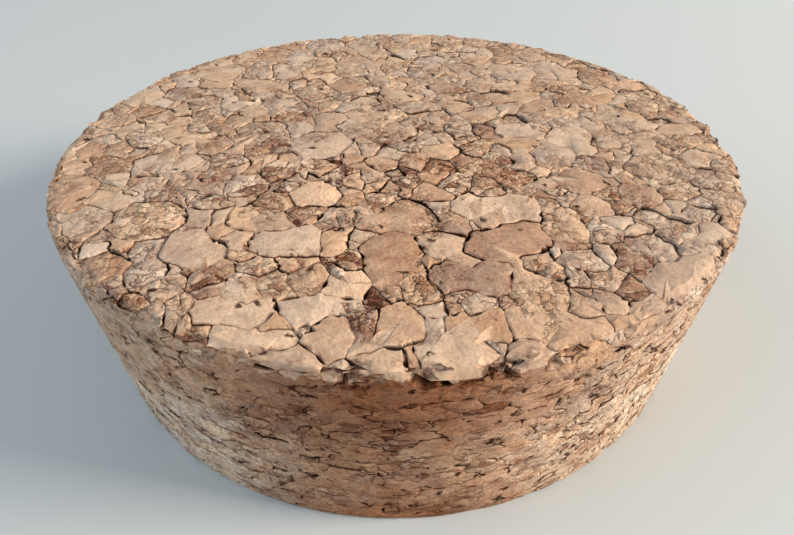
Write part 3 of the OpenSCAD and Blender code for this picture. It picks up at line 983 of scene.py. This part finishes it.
    # Bark: red-brown where granules meet, darker in flecks and whole crumbs
    meets = n.times(n.span(crevice, 0.10, 0.45), n.span(clouds(place, 0.7, 3.0, 0.6), 0.45, 0.60))
    bark = n.times(n.math("GREATER_THAN", shards.outputs[1], 0.82), n.times(broken, n.span(nap, 0.42, 0.54)))
    bark = n.math("MAXIMUM", bark, n.times(meets, 0.75))
    colour = n.mix(n.times(bark, strength(0.6, 1.0, 1.0)), colour, RED_BARK)
    fleck = n.times(n.span(clouds(fibre_way, 1.0, 5.0, 0.75), 0.60, 0.68), strength(0.45, 0.9, 0.35))
    colour = n.mix(fleck, colour, DARK_FLECK)
    # Painted highlight on the lips, where each granule rounds down into its crevice
    lit_lip = n.times(n.span(crevice, 0.05, 0.30), n.span(clouds(place, 0.7, 3.0, 0.6), 0.50, 0.38))
    colour = n.mix(n.times(lit_lip, 0.55), colour, LIP_HIGHLIGHT)

    speck = n.plus(clouds(place, 1.5, 5.0, 0.75), n.times(torn, 0.03))
    speck = n.times(n.span(speck, 0.58, 0.66), n.times(flank, n.span(torn, 0.0, 1.0, 0.6, 0.95)))
    colour = n.mix(speck, colour, SPECK)

    # The flank: a band paler than the rest low down, painted warm shade over the front, painted cool light at
    # the lower left, and painted light on the side towards the key lamp
    height = n.plus(z, n.span(clouds(place, 0.09, 3.0), 0.3, 0.7, -2.5, 2.5))

    def band(centre, reach):
        """1 at one height of the flank, 0 from reach above or below it."""
        return n.span(n.math("ABSOLUTE", n.math("SUBTRACT", height, centre)), reach, 0.0)

    def towards(x, y, low, high):
        """1 on the side of the flank that faces (x, y)."""
        facing = n.vector("DOT_PRODUCT", place, (x, y, 0.0), out="Value")
        return n.span(n.math("DIVIDE", facing, around), low, high)

    def tinted(share, surface, tint):
        return n.mix(share, surface, n.mix(1.0, surface, tint, "MULTIPLY"))

    weaker_behind = n.span(towards(0.0, 1.0, -0.1, 0.6), 0.0, 1.0, 1.0, 0.4)
    # Painted shade on the front: strongest near the rim and the foot, half as strong halfway up
    front_shade_depth = n.span(band(13.0, 12.0), 0.0, 1.0, 1.0, 0.5)
    # Painted cool light on the lower front-left of the flank
    cool_lit_low_left = n.times(towards(-0.7, -0.7, 0.85, 0.95), n.span(height, 17.0, 12.0))
    side = tinted(n.times(band(10.0, 12.0), weaker_behind), colour, PALE_BAND)
    side = tinted(n.times(towards(0.0, -1.0, 0.9, 1.0), front_shade_depth), side, WARM_FRONT_SHADE)
    side = tinted(cool_lit_low_left, side, COOL_LIGHT_LOW_LEFT)
    # Painted light on the side of the flank that faces the key lamp
    side = tinted(towards(0.87, -0.5, 0.6, 0.95), side, KEY_LIT_SIDE)
    colour = n.mix(n.times(flank, over_foot), colour, side)
    colour = tinted(middle, colour, WARM_MIDDLE)

    split = n.math("MAXIMUM", cracks, seam)
    colour = n.mix(n.times(split, n.span(flank, 0.0, 1.0, 0.85, 0.95)), colour, CRACK)
    colour = n.mix(n.times(holes, 0.9), colour, HOLE)
    # The crevices are painted dark: partly their dark binder, partly painted shade that grows with their
    # depth
    gap = n.plus(crevice, n.span(nap, 0.3, 0.7, -0.10, 0.10))
    gap = n.plus(gap, n.times(middle, 0.04))
    colour = n.mix(n.times(n.span(gap, 0.45, 0.69), strength(0.78, 0.99, 0.97)), colour, CREVICE_SHADE_AND_BINDER)

    # Relief, in millimetres
    relief = n.times(nap, n.span(flank, 0.0, 1.0, 0.14, 0.22))
    relief = n.plus(relief, n.times(fibres, 0.10))
    relief = n.plus(relief, n.times(n.times(fuzz, torn), 0.30))
    relief = n.plus(relief, n.times(mottle, 0.5))
    relief = n.math("SUBTRACT", relief, n.times(holes, 0.25))
    relief = n.math("SUBTRACT", relief, n.times(split, 0.2))
    lump = n.math("SUBTRACT", n.times(shards.outputs[2], 0.25), n.times(n.times(crumb, crumb), 0.55))
    relief = n.plus(relief, n.times(lump, broken))
    relief = n.times(relief, strength(0.7, 1.0, 1.0))
    bump = n.add("Bump", {"Strength": 1.0, "Distance": 0.001, "Height": relief})
    rough = n.span(fibres, 0.3, 0.7, 0.78, 0.94)
    shader = n.add("BsdfPrincipled", {"Base Color": colour, "Roughness": rough, "Normal": bump,
                                      "Specular IOR Level": 0.03})
    output = tree.nodes.new("ShaderNodeOutputMaterial")
    tree.links.new(shader, output.inputs["Surface"])
    return material


# ---- Floor, light and camera, in metres -------------------------------------
FLOOR_COLOUR = (0.515, 0.54, 0.542, 1)
LENS = 27.5
CAMERA_AT = (0.0001, -0.087, 0.071)
LOOKS_TO = (0.0, 0.7882, -0.6154)
ITS_RIGHT = (0.99999, -0.0032, -0.0041)


def lay_floor():
    bm = bmesh.new()
    bmesh.ops.create_grid(bm, x_segments=1, y_segments=1, size=4.0)
    mesh = bpy.data.meshes.new("floor")
    bm.to_mesh(mesh)
    bm.free()
    floor = bpy.data.objects.new("floor", mesh)
    bpy.context.scene.collection.objects.link(floor)
    material = bpy.data.materials.new("pale_floor")
    material.use_nodes = True
    shader = material.node_tree.nodes["Principled BSDF"]
    shader.inputs["Base Color"].default_value = FLOOR_COLOUR
    shader.inputs["Roughness"].default_value = 0.6
    mesh.materials.append(material)


def hang_lamp(name, place, size, watts, colour):
    lamp = bpy.data.lights.new(name, "AREA")
    lamp.size = size
    lamp.energy = watts
    lamp.color = colour
    holder = bpy.data.objects.new(name, lamp)
    holder.location = place
    holder.rotation_euler = Vector(place).to_track_quat("Z", "Y").to_euler()
    bpy.context.scene.collection.objects.link(holder)


def light_room():
    world = bpy.data.worlds.new("room")
    bpy.context.scene.world = world
    world.use_nodes = True
    n = Nodes(world.node_tree)
    n.tree.nodes.clear()
    path = n.tree.nodes.new("ShaderNodeLightPath")
    seen = n.math("MAXIMUM", path.outputs["Is Camera Ray"], path.outputs["Is Glossy Ray"])
    soft = n.add("Background", {"Color": (0.95, 0.97, 1.0, 1), "Strength": 0.46})
    shown = n.add("Background", {"Color": (0.74, 0.73, 0.71, 1), "Strength": 1.0})
    both = n.add("MixShader", {0: seen, 1: soft, 2: shown})
    output = n.tree.nodes.new("ShaderNodeOutputWorld")
    n.tree.links.new(both, output.inputs["Surface"])
    hang_lamp("key", (1.085, -0.153, 0.50), 0.4, 22.5, (1.0, 0.91, 0.78))
    hang_lamp("fill", (-0.95, -0.25, 0.7), 0.9, 6.5, (0.56, 0.80, 1.0))
    hang_lamp("front", (0.1, -1.2, 0.25), 0.8, 1.0, (1.0, 0.70, 0.52))


def place_camera():
    lens = bpy.data.cameras.new("camera")
    lens.lens = LENS
    lens.sensor_width = 36.0
    lens.clip_start = 0.005
    camera = bpy.data.objects.new("camera", lens)
    ahead = Vector(LOOKS_TO).normalized()
    right = Vector(ITS_RIGHT)
    right = (right - ahead * right.dot(ahead)).normalized()
    up = right.cross(ahead)
    turn = Matrix((right, up, -ahead)).transposed().to_4x4()
    camera.matrix_world = Matrix.Translation(CAMERA_AT) @ turn
    bpy.context.scene.collection.objects.link(camera)
    bpy.context.scene.camera = camera


skin = stopper()
skin.data.materials.append(cork_material())
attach(skin, "root")
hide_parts("cork_stopper")
lay_floor()
light_room()
place_camera()
bpy.context.scene.view_settings.view_transform = "Standard"
